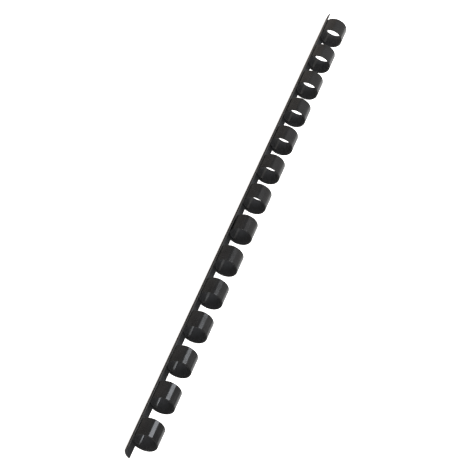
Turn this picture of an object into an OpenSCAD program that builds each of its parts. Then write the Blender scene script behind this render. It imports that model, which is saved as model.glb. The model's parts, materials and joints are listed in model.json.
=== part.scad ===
// Plastic binding comb: one lengthwise spine strip with a row of curled rings.
// Each ring leaves the spine's back edge, curls round once and tucks inside the spine.
// A real comb is one sheet of PVC. Here every ring is divided where it flexes, so that it can uncurl.
// The comb lies spine down along X, balanced as it rests on a table. Millimetres.

/* [Comb] */
// Number of rings along the spine
ring_count = 14; // [4:1:18]
// Distance between the centres of neighbouring rings
ring_pitch = 14.2875; // [12:0.0001:16]
// Outside diameter of a closed ring
outer_d = 8.4; // [7.6:0.1:9]
// Thickness of the plastic sheet
sheet_t = 0.32; // [0.25:0.01:0.4]
// Length of spine before the first ring's centre
near_end = 8; // [6:0.1:9]
// Length of spine after the last ring's centre
far_end = 6.3; // [6:0.1:9]

/* [Spine] */
// Angle that the spine strip covers round the comb
spine_arc = 89; // [80:1:95]
// Angle that the strip's middle is turned from straight down towards its free edge, where the comb balances
spine_turn = 9; // [0:0.5:12]

/* [Rings] */
// Width of a ring from its root to where it tucks in
ring_w = 6.3; // [5:0.1:7]
// Width of a ring's tucked end
tip_w = 5.4; // [4:0.1:6]
// Angle that a whole ring curls through from its root
ring_curl = 375; // [365:1:380]
// Clearance between the tucked tip and the spine
tuck_gap = 0.2; // [0.1:0.01:0.3]

/* [Flexing] */
// Angle from the root to the first flexing line
flex_1_at = 40; // [30:1:50]
// Angle from the root to the second flexing line
flex_2_at = 110; // [95:1:115]
// Angle from the root to the third flexing line
flex_3_at = 170; // [155:1:175]

/* [Hidden] */
$fn = 96;
plastic = [0.09, 0.09, 0.10];

outer_r = outer_d / 2;
comb_l = near_end + (ring_count - 1) * ring_pitch + far_end;

// Angles in the cross-section run from +Y towards +Z. A ring curls the other way round.
spine_mid_a = -90 + spine_turn;
free_edge_a = spine_mid_a + spine_arc / 2;
root_a = spine_mid_a - spine_arc / 2;

// A ring is a spiral of three arcs, each tangent to the next: at full radius, easing in, and tucked.
ease_from = 120;
ease_to = ease_from + 180;
step_in = (sheet_t + tuck_gap) / 2;
ease_shift = step_in * [cos(root_a - ease_from), sin(root_a - ease_from)];

// The origin is at the bottom centre of the whole comb's box, so the axis of the spine stands off it.
axis_y = (outer_r - (ease_shift[0] + outer_r - step_in)) / 2;
axis_z = outer_r;

STAGES = ["back", "front", "tip"];
function two_digits(n) = str(n < 10 ? "0" : "", n);
function node_name(n, stage) = str("ring_", two_digits(n), "_", stage);
function ring_x(n) = near_end - comb_l / 2 + (n - 1) * ring_pitch;

// Where the spine strip is divided after ring n: its two ends, or halfway to the next ring
hairline = 0.01;
function cut_x(n) =
    n == 0 ? -(comb_l + hairline) / 2
    : n == ring_count ? (comb_l + hairline) / 2
    : ring_x(n) + ring_pitch / 2;

// Wedge from angle a down to angle b, up to 180 degrees apart, wide enough to cover the comb
module wedge(a, b) {
    reach = 3 * outer_r;
    mid = (a + b) / 2;
    polygon([
        [0, 0],
        reach * [cos(a), sin(a)],
        reach * [cos((a + mid) / 2), sin((a + mid) / 2)],
        reach * [cos(mid), sin(mid)],
        reach * [cos((b + mid) / 2), sin((b + mid) / 2)],
        reach * [cos(b), sin(b)]
    ]);
}

// Band of sheet between two angles on a circle of outer radius r
module band(r, a, b) {
    intersection() {
        difference() {
            circle(r = r);
            circle(r = r - sheet_t);
        }
        wedge(a, b);
    }
}

// The stretch of the spiral from one angle past the root to another, within one arc
module spiral_band(from, to) {
    if (to <= ease_from)
        band(outer_r, root_a - from, root_a - to);
    else if (from >= ease_to)
        band(outer_r - 2 * step_in, root_a - from, root_a - to);
    else
        translate(ease_shift) band(outer_r - step_in, root_a - from, root_a - to);
}

// Extrudes a cross-section along X, with its middle at x and its axis on the comb's axis
module along_comb(x, length) {
    translate([x - length / 2, axis_y, axis_z])
        rotate([90, 0, 90])
            linear_extrude(height = length)
                children();
}

// The strip is divided halfway between rings, so that collision made from its solids follows its curve
module spine() {
    color(plastic)
        for (n = [1 : ring_count])
            along_comb((cut_x(n - 1) + cut_x(n)) / 2, cut_x(n) - cut_x(n - 1) - hairline)
                band(outer_r, free_edge_a, root_a);
}

module ring_roots() {
    color(plastic)
        for (n = [1 : ring_count])
            along_comb(ring_x(n), ring_w)
                spiral_band(0, flex_1_at);
}

module ring_back(n) {
    color(plastic)
        along_comb(ring_x(n), ring_w)
            spiral_band(flex_1_at, flex_2_at);
}

module ring_front(n) {
    color(plastic)
        along_comb(ring_x(n), ring_w)
            union() {
                spiral_band(flex_2_at, ease_from);
                spiral_band(ease_from, flex_3_at);
            }
}

module ring_tip(n) {
    color(plastic)
        union() {
            along_comb(ring_x(n), ring_w)
                spiral_band(flex_3_at, ease_to);
            along_comb(ring_x(n), tip_w)
                spiral_band(ease_to, ring_curl);
        }
}

spine();
ring_roots();
for (n = [1 : ring_count]) {
    ring_back(n);
    ring_front(n);
    ring_tip(n);
}
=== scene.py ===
"""Looks of a black plastic binding comb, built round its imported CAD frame. Metres throughout."""

import json
import math
import random

import bmesh
import bpy
import numpy as np
from mathutils import Matrix, Quaternion, Vector

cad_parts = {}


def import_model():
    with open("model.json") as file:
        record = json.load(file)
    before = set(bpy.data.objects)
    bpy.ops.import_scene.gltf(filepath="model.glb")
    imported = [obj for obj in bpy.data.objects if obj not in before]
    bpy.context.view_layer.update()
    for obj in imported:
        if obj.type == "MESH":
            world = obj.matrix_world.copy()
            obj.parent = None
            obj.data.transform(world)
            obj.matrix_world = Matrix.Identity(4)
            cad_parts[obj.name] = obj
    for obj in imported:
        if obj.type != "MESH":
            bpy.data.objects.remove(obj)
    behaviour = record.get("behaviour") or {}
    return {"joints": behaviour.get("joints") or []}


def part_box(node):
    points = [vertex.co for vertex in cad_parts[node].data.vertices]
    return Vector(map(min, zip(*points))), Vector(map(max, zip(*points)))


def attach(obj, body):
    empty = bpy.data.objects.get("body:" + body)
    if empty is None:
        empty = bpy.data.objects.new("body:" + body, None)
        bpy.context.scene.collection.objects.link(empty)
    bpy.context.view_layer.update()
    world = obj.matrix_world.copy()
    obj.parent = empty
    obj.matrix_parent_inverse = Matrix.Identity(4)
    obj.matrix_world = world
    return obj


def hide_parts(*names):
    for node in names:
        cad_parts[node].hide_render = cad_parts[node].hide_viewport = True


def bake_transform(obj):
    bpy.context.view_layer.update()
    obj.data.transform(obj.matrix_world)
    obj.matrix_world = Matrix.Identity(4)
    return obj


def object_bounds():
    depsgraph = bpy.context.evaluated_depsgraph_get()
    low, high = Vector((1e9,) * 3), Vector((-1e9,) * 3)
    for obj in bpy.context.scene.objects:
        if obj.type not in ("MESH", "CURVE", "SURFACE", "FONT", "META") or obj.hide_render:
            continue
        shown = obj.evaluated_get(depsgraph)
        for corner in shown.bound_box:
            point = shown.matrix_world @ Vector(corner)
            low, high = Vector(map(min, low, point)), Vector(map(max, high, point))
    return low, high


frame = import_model()
cad_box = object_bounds()

MM = 0.001

# The comb's own sizes, as the CAD part has them
OUTER_R = 4.2 * MM
SHEET_T = 0.32 * MM
STEP_IN = 0.26 * MM
SPINE_ARC = 89
SPINE_TURN = 9
EASE_FROM = 120
EASE_TO = 300
RING_HALF_W = 3.15 * MM

# Where each ring bends: a bend runs from one of these angles past the root to the next
BENDS = [0, 80, 140, 200]
CURL_END = 375
STAGES = ["back", "front", "tip"]

# The shoulder, where a ring is creased and nicked, with a short flat past it
SHOULDER_AT = 191
CREASE_SPAN = 0.4
NICK_SPAN = 5
NICK_DEPTH = 0.06 * MM
FLAT_SPAN = 16

# The tucked end: it lies closer to the strip than in the CAD, tapers, and ends in a lip that is turned in
TUCKS_CLOSER = 0.1 * MM
TUCK_FROM = 235
TUCK_SPAN = 30
TAPER_FROM = 290
TIP_HALF_W = 2.6 * MM
TIP_CORNER_R = 0.5 * MM
LIP = 0.85 * MM
FIRST_LIP = 0.6 * MM
LIP_TURN = 8

# The sheet's round cut edges, and the slight waves that heat curling leaves in it
EDGE_R = 0.07 * MM
EDGE_STEPS = 4
RIPPLE_HEIGHT = 0.004 * MM
LONG_RIPPLE = 5.3 * MM
SHORT_RIPPLE = 2.9 * MM

# How fine the meshes are. A narrow row or column beside each edge keeps its shading to itself.
STUB_END = 5
ROW_STEP = 2.5
COLUMN_STEP = 1.2 * MM
NARROW_ROW = 0.25
LIP_ROW = 0.3
SUPPORT = 0.1 * MM
ACROSS = (-0.75, -0.5, -0.25, 0, 0.25, 0.5, 0.75)
TIP_ROWS = (0.7, 0.45, 0.25, 0.12, 0.05, 0.015)

# How pale the cut edges are from wear, and how pale the lip is painted as a painted highlight, from 0 to 1
SPINE_EDGE_WEAR = 1.0
RING_EDGE_WEAR = 0.2
LIP_PAINTED_HIGHLIGHT = 0.9

# Rings that curl in more than the others, and how much any ring differs in tightness and in where it ends
TIGHTER = {7: 1.75, 9: 1.08, 10: 1.16, 11: 1.16, 12: 1.08}
TIGHTNESS_SPREAD = (0.94, 1.04)
END_SPREAD = (-2.5, 1.5)

ROOT_A = -90 + SPINE_TURN - SPINE_ARC / 2

openings = [j for j in frame["joints"] if j["name"].endswith("_opening")]
RING_X = sorted(j["pos_m"][0] for j in openings)
FLEX_1_AT = (BENDS[0] + BENDS[1]) / 2
AXIS_Y = openings[0]["pos_m"][1] - OUTER_R * math.cos(math.radians(ROOT_A - FLEX_1_AT))
AXIS_Z = OUTER_R
SPINE_LOW, SPINE_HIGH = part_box("spine")


# ---------------------------------------------------------------- shape of the sheet


def spiral(angle, depth, tightness=1.0):
    """(y, z) at an angle past the root and a depth under the outer surface. Below 0 degrees is the spine."""
    a = math.radians(ROOT_A - angle)
    ease = math.radians(ROOT_A - EASE_FROM)
    step = STEP_IN * tightness
    y, z, r = AXIS_Y, AXIS_Z, OUTER_R
    if angle > EASE_TO:
        r = OUTER_R - 2 * step
    elif angle > EASE_FROM:
        y += step * math.cos(ease)
        z += step * math.sin(ease)
        r = OUTER_R - step
    return y + (r - depth) * math.cos(a), z + (r - depth) * math.sin(a)


def flat_offset(angle):
    """Inward offset of the short flat that the former leaves past the shoulder, where a ring is creased."""
    half = FLAT_SPAN / 2
    from_middle = angle - SHOULDER_AT - half
    if abs(from_middle) >= half:
        return 0.0
    return OUTER_R * (1 - math.cos(math.radians(half)) / math.cos(math.radians(from_middle)))


def smooth(t):
    t = min(max(t, 0.0), 1.0)
    return t * t * (3 - 2 * t)


def half_width(angle, end):
    """Half the ring's width: even, with a nick at the shoulder, then a taper to a tip with round corners."""
    nick = 1 - smooth(abs(angle - SHOULDER_AT) / NICK_SPAN)
    taper = smooth((angle - TAPER_FROM) / (end - TAPER_FROM))
    w = RING_HALF_W - NICK_DEPTH * nick + (TIP_HALF_W - RING_HALF_W) * taper
    left = math.radians(end - angle) * OUTER_R
    if left < TIP_CORNER_R:
        w -= TIP_CORNER_R - math.sqrt(max(TIP_CORNER_R**2 - (TIP_CORNER_R - left) ** 2, 0.0))
    return w


def ripple(x, angle, phase):
    """Slight unevenness of the sheet, as a radial offset: waves along the comb, round it and aslant."""
    turn = math.radians(angle)
    along = math.sin(x / LONG_RIPPLE * 2 * math.pi + phase)
    around = math.sin(turn * 3.1 + 2.3 * phase)
    aslant = math.sin(x / SHORT_RIPPLE * 2 * math.pi - turn * 4.7 + phase)
    return RIPPLE_HEIGHT * (along + 1.4 * around + 0.8 * aslant)


def profile(half_w, thin=0.0):
    """Cross-section of the sheet across a ring, as (x, depth) points round it, with round cut edges."""
    e = EDGE_R
    top, low = thin, SHEET_T - thin
    e_depth = min(e, (low - top) / 2 - 1e-7)
    inner_x = half_w - e
    xs = [-inner_x, -inner_x + SUPPORT]
    xs += [inner_x * f for f in ACROSS]
    xs += [inner_x - SUPPORT, inner_x]
    turn = [math.radians(90 * (step + 1) / EDGE_STEPS) for step in range(EDGE_STEPS)]
    back = [0] + turn[:-1]
    points = [(x, top) for x in xs]
    points += [(inner_x + e * math.sin(t), top + e_depth * (1 - math.cos(t))) for t in turn]
    points += [(inner_x + e * math.cos(t), low - e_depth * (1 - math.sin(t))) for t in back]
    points += [(x, low) for x in reversed(xs)]
    points += [(-inner_x - e * math.sin(t), low - e_depth * (1 - math.cos(t))) for t in turn]
    points += [(-inner_x - e * math.cos(t), top + e_depth * (1 - math.sin(t))) for t in back]
    return points


def new_piece(name, verts, faces, places, wear_and_highlight):
    """A mesh object. places says where each point lies on the flat sheet, and wear_and_highlight how pale its
    worn edges are and how pale the lip is painted as a painted highlight.
    """
    mesh = bpy.data.meshes.new(name)
    mesh.from_pydata(verts, [], faces)
    mesh.validate()
    mesh.attributes.new("sheet_place", "FLOAT_VECTOR", "POINT").data.foreach_set(
        "vector", np.array(places, np.float32).ravel()
    )
    mesh.attributes.new("cut_edge", "FLOAT", "POINT").data.foreach_set("value", np.array(wear_and_highlight, np.float32))
    mesh.polygons.foreach_set("use_smooth", [True] * len(mesh.polygons))
    obj = bpy.data.objects.new(name, mesh)
    bpy.context.scene.collection.objects.link(obj)
    return obj


def angle_rows(start, end):
    """Angles from start to end, with a narrow row at each end so that the shading runs on across a seam."""
    count = max(2, round((end - start) / ROW_STEP))
    rows = [start + (end - start) * i / count for i in range(count + 1)]
    return [rows[0], rows[0] + NARROW_ROW] + rows[1:-1] + [rows[-1] - NARROW_ROW, rows[-1]]


def ring_piece(name, ring, start, end, ring_end, tip=False):
    """One stretch of a ring, swept along the spiral between two angles past the root, closed at both ends."""
    crease = [SHOULDER_AT - CREASE_SPAN, SHOULDER_AT, SHOULDER_AT + CREASE_SPAN]
    rows = sorted(set(angle_rows(start, end) + [a for a in crease if start < a < end]))
    if tip:
        corner = math.degrees(TIP_CORNER_R / OUTER_R)
        lip = math.degrees(ring["lip"] / OUTER_R)
        rows = [a for a in rows if a < end - lip - LIP_ROW]
        rows += sorted({end - lip - LIP_ROW, end - lip, end - corner})
        rows += [end - corner * f for f in TIP_ROWS]
    verts, places, wear_and_highlight = [], [], []
    for angle in rows:
        left = math.radians(end - angle) * OUTER_R
        in_lip = tip and left < ring["lip"]
        pinch = flat_offset(angle) - TUCKS_CLOSER * smooth((angle - TUCK_FROM) / TUCK_SPAN)
        if in_lip:
            pinch += (ring["lip"] - left) * math.tan(math.radians(LIP_TURN))
        thin = 0.0
        if tip and left < EDGE_R:
            thin = EDGE_R - math.sqrt(max(EDGE_R**2 - (EDGE_R - left) ** 2, 0.0))
        section = profile(half_width(angle, ring_end), thin)
        for x, depth in section:
            offset = ripple(ring["x"] + x, angle, ring["phase"])
            y, z = spiral(angle, depth + offset + pinch, ring["tightness"])
            verts.append((ring["x"] + x, y, z))
            places.append((ring["x"] + x, math.radians(angle) * OUTER_R, depth))
            on_face = depth < 1e-9 or depth > SHEET_T - 1e-9
            # The lip is painted paler as a painted highlight; cut edges are paler from wear.
            wear_and_highlight.append(LIP_PAINTED_HIGHLIGHT if in_lip else 0.0 if on_face else RING_EDGE_WEAR)
    n = len(section)
    faces = []
    for i in range(len(rows) - 1):
        for j in range(n):
            k = (j + 1) % n
            faces.append((i * n + j, i * n + k, (i + 1) * n + k, (i + 1) * n + j))
    first_cap = len(faces)
    faces += cap_faces(0, n, True)
    faces += cap_faces((len(rows) - 1) * n, n, False)
    obj = new_piece(name, verts, faces, places, wear_and_highlight)
    for polygon in obj.data.polygons[first_cap:]:
        polygon.use_smooth = False
    sharpen_rims(obj)
    return obj


def cap_faces(base, n, flip):
    """Faces that close a section: quads between its outer and inner rows of points, and two round ends."""
    half = n // 2
    width = half - EDGE_STEPS
    faces = []
    for j in range(width - 1):
        a, b = base + j, base + j + 1
        c, d = base + (half + width - 1 - j) - 1, base + (half + width - 1 - j)
        faces.append((a, b, c, d) if flip else (d, c, b, a))
    right = [base + width - 1 + j for j in range(half - width + 2)]
    left = [base + (half + width - 1 + j) % n for j in range(n - half - width + 2)]
    faces.append(tuple(right) if flip else tuple(reversed(right)))
    faces.append(tuple(left) if flip else tuple(reversed(left)))
    return faces


def sharpen_rims(obj):
    """Marks the edges between smooth and flat faces as sharp, so that an end cap doesn't bend the shading."""
    bm = bmesh.new()
    bm.from_mesh(obj.data)
    for edge in bm.edges:
        if len(edge.link_faces) == 2 and edge.link_faces[0].smooth != edge.link_faces[1].smooth:
            edge.smooth = False
    bmesh.ops.recalc_face_normals(bm, faces=bm.faces)
    bm.to_mesh(obj.data)
    bm.free()


def spine_columns():
    """X of each line across the spine, and for each cell between two lines whether a ring's root is there."""
    low, high = SPINE_LOW.x, SPINE_HIGH.x
    edges = [low]
    for x in RING_X:
        edges += [x - RING_HALF_W, x + RING_HALF_W]
    edges.append(high)
    lines, is_root = [low], []
    for i in range(len(edges) - 1):
        a, b = edges[i], edges[i + 1]
        inner = SUPPORT + EDGE_R
        count = max(2, round((b - a) / COLUMN_STEP))
        steps = [a + inner + (b - a - 2 * inner) * k / count for k in range(count + 1)] + [b]
        lines += steps
        is_root += [i % 2 == 1] * len(steps)
    return lines, is_root


def spine_strip():
    """The lengthwise strip with a short stub of every ring, as one closed sheet with rounded cut edges."""
    lines, is_root = spine_columns()
    edge = math.degrees((SUPPORT + EDGE_R) / OUTER_R)
    count = round(SPINE_ARC / ROW_STEP)
    angles = [-SPINE_ARC, -SPINE_ARC + edge]
    angles += [-SPINE_ARC + edge + (SPINE_ARC - 2 * edge) * i / count for i in range(1, count + 1)]
    angles += [0]
    root_row = len(angles) - 1
    angles += [edge, STUB_END / 2, STUB_END - NARROW_ROW, STUB_END]
    bm = bmesh.new()
    grid = {}

    def point(i, j, side):
        if (i, j, side) not in grid:
            x = lines[i]
            offset = ripple(x, angles[j], 0.0) * (1 if j <= root_row else 0)
            y, z = spiral(angles[j], side * SHEET_T + offset)
            grid[i, j, side] = bm.verts.new((x, y, z))
        return grid[i, j, side]

    def solid(i, j):
        if not (0 <= i < len(lines) - 1 and 0 <= j < len(angles) - 1):
            return False
        return j < root_row or is_root[i]

    seam_faces = []
    for i in range(len(lines) - 1):
        for j in range(len(angles) - 1):
            if not solid(i, j):
                continue
            corners = [(i, j), (i + 1, j), (i + 1, j + 1), (i, j + 1)]
            bm.faces.new([point(a, b, 0) for a, b in corners])
            bm.faces.new([point(a, b, 1) for a, b in reversed(corners)])
            around = [(i, j - 1), (i + 1, j), (i, j + 1), (i - 1, j)]
            for k, (ni, nj) in enumerate(around):
                if solid(ni, nj):
                    continue
                (a, b), (c, d) = corners[k], corners[(k + 1) % 4]
                face = bm.faces.new([point(c, d, 0), point(a, b, 0), point(a, b, 1), point(c, d, 1)])
                if nj == len(angles) - 1:
                    seam_faces.append(face)
    bmesh.ops.recalc_face_normals(bm, faces=bm.faces)
    seam_edges = {e for f in seam_faces for e in f.edges}
    right_angled = [e for e in bm.edges if len(e.link_faces) == 2 and e.calc_face_angle() > 1]
    rim = [e for e in right_angled if e not in seam_edges]
    bmesh.ops.bevel(
        bm, geom=rim, offset=EDGE_R, segments=EDGE_STEPS, profile=0.5, affect="EDGES", clamp_overlap=True
    )
    bmesh.ops.recalc_face_normals(bm, faces=bm.faces)
    verts = [v.co.copy() for v in bm.verts]
    faces = [[v.index for v in f.verts] for f in bm.faces]
    bm.free()
    places, wear_and_highlight = [], []
    skin = 0.02 * MM
    for v in verts:
        y, z = v.y - AXIS_Y, v.z - AXIS_Z
        depth = OUTER_R - math.hypot(y, z)
        arc = math.radians(ROOT_A - math.degrees(math.atan2(z, y))) * OUTER_R
        places.append((v.x, arc, depth))
        wear_and_highlight.append(SPINE_EDGE_WEAR if skin < depth < SHEET_T - skin else 0.0)
    obj = new_piece("spine_strip", verts, faces, places, wear_and_highlight)
    for polygon in obj.data.polygons:
        at_seam = all(abs(places[i][1] - math.radians(STUB_END) * OUTER_R) < 1e-6 for i in polygon.vertices)
        polygon.use_smooth = not at_seam
    sharpen_rims(obj)
    return obj


# ---------------------------------------------------------------- material


class Nodes:
    """Short calls for building a material's node tree."""

    def __init__(self, name):
        self.material = bpy.data.materials.new(name)
        self.material.use_nodes = True
        self.tree = self.material.node_tree
        self.shader = self.tree.nodes["Principled BSDF"]

    def add(self, kind, links=None, **values):
        node = self.tree.nodes.new(kind)
        for key, value in values.items():
            setattr(node, key, value)
        for socket, source in (links or {}).items():
            if isinstance(source, bpy.types.NodeSocket):
                self.tree.links.new(source, node.inputs[socket])
            else:
                node.inputs[socket].default_value = source
        return node

    def noise(self, where, scale, detail=3.0, roughness=0.5):
        links = {"Vector": where, "Scale": scale, "Detail": detail, "Roughness": roughness}
        return self.add("ShaderNodeTexNoise", links).outputs["Fac"]

    def span(self, value, low, high, to_low, to_high):
        links = {"Value": value, "From Min": low, "From Max": high, "To Min": to_low, "To Max": to_high}
        return self.add("ShaderNodeMapRange", links).outputs["Result"]

    def math(self, operation, a, b):
        node = self.add("ShaderNodeMath", {0: a, 1: b}, operation=operation)
        return node.outputs["Value"]

    def mix(self, factor, a, b):
        node = self.add("ShaderNodeMix", {"Factor": factor}, data_type="RGBA")
        for socket, value in ((node.inputs[6], a), (node.inputs[7], b)):
            if isinstance(value, bpy.types.NodeSocket):
                self.tree.links.new(value, socket)
            else:
                socket.default_value = (*value, 1)
        return node.outputs[2]

    def stretch(self, where, scale):
        return self.add("ShaderNodeMapping", {"Vector": where, "Scale": scale}).outputs["Vector"]


BLACK = (0.011, 0.0107, 0.0107)
CLOUDED_BLACK = (0.0155, 0.015, 0.015)
RUBBED = (0.035, 0.036, 0.039)
# The inner face is painted lighter than the outside, as painted fill light in the shaded inside of the rings.
INSIDE_BLACK_PAINTED_LIGHTER = (0.034, 0.034, 0.0355)
# Paler colour of worn cut edges, also used to paint the lip paler as a painted highlight.
WORN_EDGE_AND_LIP_HIGHLIGHT = (0.055, 0.053, 0.05)
PVC_IOR = 1.53


def black_pvc():
    """Black PVC sheet: glossy outside with streaks, orange peel and rubs, matt inside with its colour painted
    lighter as painted fill light, paler worn edges, and a lip painted paler as a painted highlight.
    """
    n = Nodes("black_pvc")
    place = n.add("ShaderNodeAttribute", attribute_name="sheet_place").outputs["Vector"]
    wear_and_highlight = n.add("ShaderNodeAttribute", attribute_name="cut_edge").outputs["Fac"]

    clouds = n.noise(place, 260, 4)
    streaks = n.noise(n.stretch(place, (1, 9, 1)), 420, 5, 0.6)
    rubs = n.noise(n.stretch(place, (6, 1, 1)), 700, 6, 0.65)
    grain = n.noise(place, 5200, 3, 0.6)
    peel = n.noise(place, 1700, 2)

    depth = n.add("ShaderNodeSeparateXYZ", {"Vector": place}).outputs["Z"]
    # The inner face away from worn edges and the lip: matt, and painted lighter as painted fill light.
    inside = n.math("MULTIPLY", n.span(depth, 0.1 * MM, 0.25 * MM, 0, 1), n.span(wear_and_highlight, 0.4, 0.8, 1, 0))

    body = n.mix(n.span(clouds, 0.35, 0.65, 0, 1), BLACK, CLOUDED_BLACK)
    scuffed = n.mix(n.span(rubs, 0.62, 0.75, 0, 0.3), body, RUBBED)
    faced = n.mix(inside, scuffed, INSIDE_BLACK_PAINTED_LIGHTER)
    # Worn cut edges are paler, and the lip is painted paler as a painted highlight.
    worn_and_highlit = n.mix(n.math("MULTIPLY", wear_and_highlight, 0.7), faced, WORN_EDGE_AND_LIP_HIGHLIGHT)
    n.tree.links.new(worn_and_highlit, n.shader.inputs["Base Color"])

    rough = n.math("ADD", n.span(streaks, 0.3, 0.7, 0.16, 0.26), n.span(rubs, 0.55, 0.72, 0, 0.14))
    rough = n.math("ADD", rough, n.math("MULTIPLY", inside, 0.6))
    n.tree.links.new(rough, n.shader.inputs["Roughness"])
    n.shader.inputs["IOR"].default_value = PVC_IOR

    height = n.math("MULTIPLY", peel, 0.5)
    height = n.math("ADD", height, n.math("MULTIPLY", grain, 0.12))
    height = n.math("ADD", height, n.math("MULTIPLY", streaks, 0.6))
    height = n.math("ADD", height, n.math("MULTIPLY", rubs, 0.2))
    bump = n.add("ShaderNodeBump", {"Height": height, "Strength": 0.35, "Distance": 0.02 * MM})
    n.tree.links.new(bump.outputs["Normal"], n.shader.inputs["Normal"])
    return n.material


# ---------------------------------------------------------------- stage, light, camera


TABLE_BASE = (0.86, 0.85, 0.83, 1)
TABLE_GLOW = (1, 0.985, 0.96, 1)
TABLE_GLOW_STRENGTH = 0.97

# What gloss sees: a table that brightens between two places along the comb, and a dim room
TABLE_IN_GLOSS = (1, 0.89, 0.78, 1)
DIM_UP_TO = 30 * MM
BRIGHT_FROM = 110 * MM
DIM_STRENGTH = 0.13
BRIGHT_STRENGTH = 0.42
ROOM_STRENGTH = 0.11


def aim(obj, target, roll):
    """Turns the camera to look at a point, level with the horizon and then rolled."""
    view = Vector(target) - obj.location
    level = view.to_track_quat("-Z", "Y")
    obj.rotation_mode = "QUATERNION"
    obj.rotation_quaternion = level @ Quaternion((0, 0, 1), math.radians(roll))


def floor():
    """A pale table. Gloss sees it dim, as a studio's white is mostly far off, and brighter to the far end."""
    size = 3.0
    mesh = bpy.data.meshes.new("floor")
    corners = [(-size, -size, 0), (size, -size, 0), (size, size, 0), (-size, size, 0)]
    mesh.from_pydata(corners, [], [(0, 1, 2, 3)])
    obj = bpy.data.objects.new("floor", mesh)
    bpy.context.scene.collection.objects.link(obj)
    n = Nodes("white_table")
    n.shader.inputs["Base Color"].default_value = TABLE_BASE
    n.shader.inputs["Roughness"].default_value = 0.9
    n.shader.inputs["Specular IOR Level"].default_value = 0.1
    n.shader.inputs["Emission Color"].default_value = TABLE_GLOW
    n.shader.inputs["Emission Strength"].default_value = TABLE_GLOW_STRENGTH
    place = n.add("ShaderNodeTexCoord").outputs["Object"]
    along = n.add("ShaderNodeSeparateXYZ", {"Vector": place}).outputs["X"]
    strength = n.span(along, DIM_UP_TO, BRIGHT_FROM, DIM_STRENGTH, BRIGHT_STRENGTH)
    dim = n.add("ShaderNodeEmission", {"Color": TABLE_IN_GLOSS, "Strength": strength})
    path = n.add("ShaderNodeLightPath")
    mix = n.add("ShaderNodeMixShader", {0: path.outputs["Is Glossy Ray"]})
    n.tree.links.new(n.shader.outputs["BSDF"], mix.inputs[1])
    n.tree.links.new(dim.outputs["Emission"], mix.inputs[2])
    n.tree.links.new(mix.outputs["Shader"], n.tree.nodes["Material Output"].inputs["Surface"])
    mesh.materials.append(n.material)


def world():
    """Pale surroundings that light the table evenly. Gloss sees them dimmer, as a room behind the softbox."""
    w = bpy.data.worlds.new("studio")
    bpy.context.scene.world = w
    w.use_nodes = True
    tree = w.node_tree
    background = tree.nodes["Background"]
    background.inputs["Color"].default_value = (0.97, 0.98, 1.0, 1)
    path = tree.nodes.new("ShaderNodeLightPath")
    dim = tree.nodes.new("ShaderNodeMapRange")
    dim.inputs["To Min"].default_value = 1.0
    dim.inputs["To Max"].default_value = ROOM_STRENGTH
    tree.links.new(path.outputs["Is Glossy Ray"], dim.inputs["Value"])
    tree.links.new(dim.outputs["Result"], background.inputs["Strength"])


def softbox(name, place, target, size, power, colour):
    """An area light facing a point, with its first side level along the comb."""
    light = bpy.data.lights.new(name, "AREA")
    light.shape = "RECTANGLE"
    light.size, light.size_y = size
    light.energy = power
    light.color = colour
    obj = bpy.data.objects.new(name, light)
    bpy.context.scene.collection.objects.link(obj)
    obj.location = place
    back = (Vector(place) - Vector(target)).normalized()
    along = (Vector((1, 0, 0)) - back * back.x).normalized()
    obj.rotation_mode = "QUATERNION"
    obj.rotation_quaternion = Matrix((along, back.cross(along), back)).transposed().to_quaternion()
    return obj


def camera():
    """A long lens looking along the comb from its near end, turned almost on its side."""
    centre = (Vector(cad_box[0]) + Vector(cad_box[1])) / 2
    target = centre + Vector((-9.84, 0.74, -1.22)) * MM
    distance = 0.5997
    azimuth, elevation = math.radians(133.109), math.radians(19.336)
    across = distance * math.cos(elevation)
    data = bpy.data.cameras.new("camera")
    data.sensor_width = 36
    data.lens = 144.9
    data.clip_start = 0.01
    obj = bpy.data.objects.new("camera", data)
    bpy.context.scene.collection.objects.link(obj)
    obj.location = target + Vector(
        (across * math.cos(azimuth), across * math.sin(azimuth), distance * math.sin(elevation))
    )
    aim(obj, target, roll=97.58)
    bpy.context.scene.camera = obj


# ---------------------------------------------------------------- assembly


def ring(number, material):
    """One ring as three bends and a tucked tip; the tip goes with the ring's tip body."""
    rng = random.Random(number)
    shape = {
        "x": RING_X[number - 1],
        "phase": rng.uniform(0, 2 * math.pi),
        "tightness": TIGHTER.get(number, 1) * rng.uniform(*TIGHTNESS_SPREAD),
        "lip": FIRST_LIP if number == 1 else LIP,
    }
    ring_end = CURL_END + rng.uniform(*END_SPREAD)
    label = f"ring_{number:02d}"
    bodies = ["comb"] + [f"{label}_{stage}" for stage in STAGES]
    for i, stage in enumerate(STAGES):
        start = BENDS[i] if i else STUB_END
        piece = ring_piece(f"{label}_{stage}_bend", shape, start, BENDS[i + 1], ring_end)
        piece.data.materials.append(material)
        ends = [(shape["x"], *spiral(a, SHEET_T / 2, shape["tightness"])) for a in (start, BENDS[i + 1])]
        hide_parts(f"{label}_{stage}")
        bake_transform(piece)
    tip = ring_piece(f"{label}_tucked_tip", shape, BENDS[-1], ring_end, ring_end, tip=True)
    tip.data.materials.append(material)
    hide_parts(f"{label}_tip")
    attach(tip, bodies[-1])


def comb():
    material = black_pvc()
    strip = spine_strip()
    strip.data.materials.append(material)
    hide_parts("spine", "ring_roots")
    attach(strip, "comb")
    for number in range(1, len(RING_X) + 1):
        ring(number, material)


camera()
floor()
world()
comb()
softbox("key", (0.19, 0.359, 0.352), (-0.09, 0, 0.006), (0.18, 0.2), 0.72, (0.9, 0.94, 1.0))
softbox("rim", (0.3, -0.5, 0.2), (-0.02, 0, 0.006), (0.7, 0.46), 0.9, (1.0, 1.0, 1.0))
far = softbox("far", (0.22, 0.02, 0.12), (0.08, 0, 0.004), (0.36, 0.36), 0.16, (1.0, 0.98, 0.96))
far.visible_camera = False
bpy.context.scene.view_settings.view_transform = "Standard"
